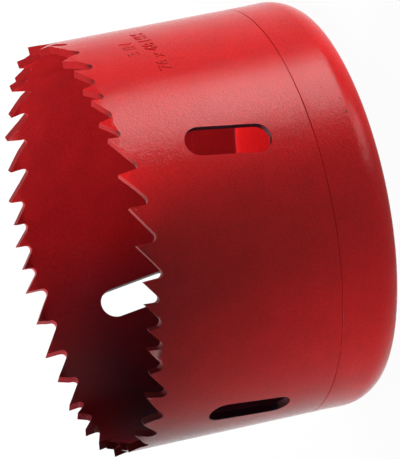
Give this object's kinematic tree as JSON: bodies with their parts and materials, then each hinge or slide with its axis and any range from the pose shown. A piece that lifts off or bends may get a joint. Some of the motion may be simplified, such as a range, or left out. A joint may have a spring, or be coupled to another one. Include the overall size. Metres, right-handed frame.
{
  "type": "hole saw",
  "caption": "Cup-shaped hole saw: a toothed, slotted steel band welded to a drawn cap with a tapped arbor hole and drive pin holes.",
  "frame": {"origin": "on the saw's axis, at the cap's outer face", "axes": "+Z along the saw's axis, from the cap to the teeth; one slot faces -Y"},
  "size_m": [0.0757, 0.0755, 0.048],
  "materials": {
    "enamel": "semi-gloss"
  },
  "bodies": {
    "root": {"cap": "enamel", "toothed_band": "enamel"}
  },
  "joints": []
}
